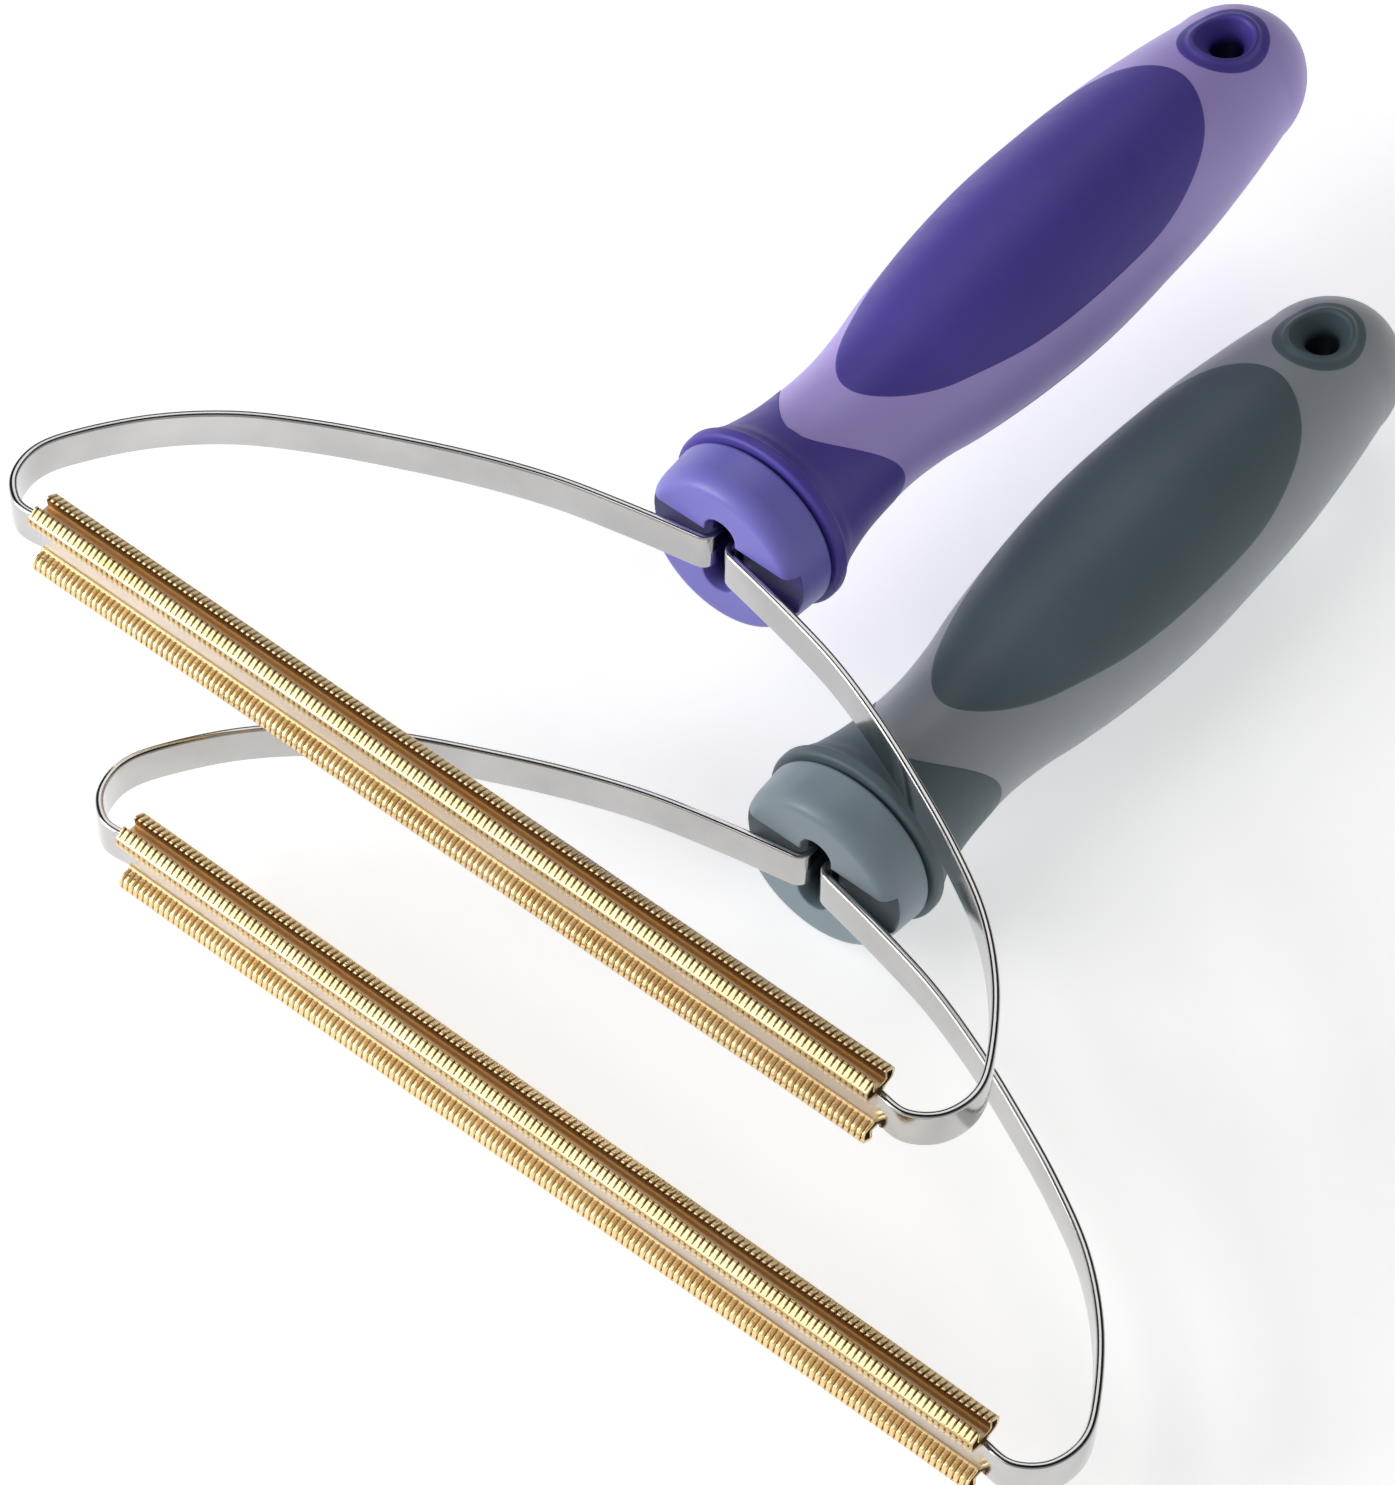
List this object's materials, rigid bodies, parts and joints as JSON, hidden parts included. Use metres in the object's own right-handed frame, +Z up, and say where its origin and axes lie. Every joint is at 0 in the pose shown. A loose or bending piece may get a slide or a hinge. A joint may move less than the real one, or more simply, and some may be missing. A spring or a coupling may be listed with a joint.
{
  "type": "pair of double-sided hair scrapers",
  "caption": "Hand scrapers with a bowed steel band, toothed brass blades above and below its bar, and a soft-grip handle with a hang hole, one lying on the other",
  "frame": {"origin": "under the middle of the pair, on the surface the grey tool lies on", "axes": "+X along the bars, +Y from the bars to the butts of the handles, +Z up"},
  "size_m": [0.2284, 0.2402, 0.0549],
  "materials": {
    "purple_core": "satin moulded lavender plastic",
    "purple_soft": "satin soft-touch dark violet",
    "purple_plug": "satin moulded violet plastic",
    "grey_core": "satin moulded mid grey plastic",
    "grey_soft": "satin soft-touch slate grey",
    "grey_plug": "satin moulded blue-grey plastic",
    "spring_steel": "bright rolled strip",
    "brass": "bright stamped sheet"
  },
  "bodies": {
    "grey_handle": {"grey_handle_core": "grey_core", "grey_neck_collar": "grey_soft", "grey_upper_grip_pad": "grey_soft", "grey_lower_grip_pad": "grey_soft", "grey_hang_hole_grommet": "grey_soft"},
    "grey_head": {"grey_head_plug": "grey_plug", "grey_spring_band": "spring_steel", "grey_tail_wedge": "grey_soft", "grey_clamp_pin": "spring_steel", "grey_upper_blade": "brass", "grey_lower_blade": "brass"},
    "purple_handle": {"purple_handle_core": "purple_core", "purple_neck_collar": "purple_soft", "purple_upper_grip_pad": "purple_soft", "purple_lower_grip_pad": "purple_soft", "purple_hang_hole_grommet": "purple_soft"},
    "purple_head": {"purple_head_plug": "purple_plug", "purple_spring_band": "spring_steel", "purple_tail_wedge": "purple_soft", "purple_clamp_pin": "spring_steel", "purple_upper_blade": "brass", "purple_lower_blade": "brass"}
  },
  "joints": [
    {"name": "purple_lift", "type": "slide", "parent": "grey_handle", "child": "purple_handle", "axis": [0, 0, 1], "range_m": [0, 0.12]},
    {"name": "grey_head_pull", "type": "slide", "parent": "grey_handle", "child": "grey_head", "axis": [0, -1, 0], "range_m": [0, 0.021]},
    {"name": "purple_head_pull", "type": "slide", "parent": "purple_handle", "child": "purple_head", "axis": [0, -1, 0], "range_m": [0, 0.021]}
  ]
}
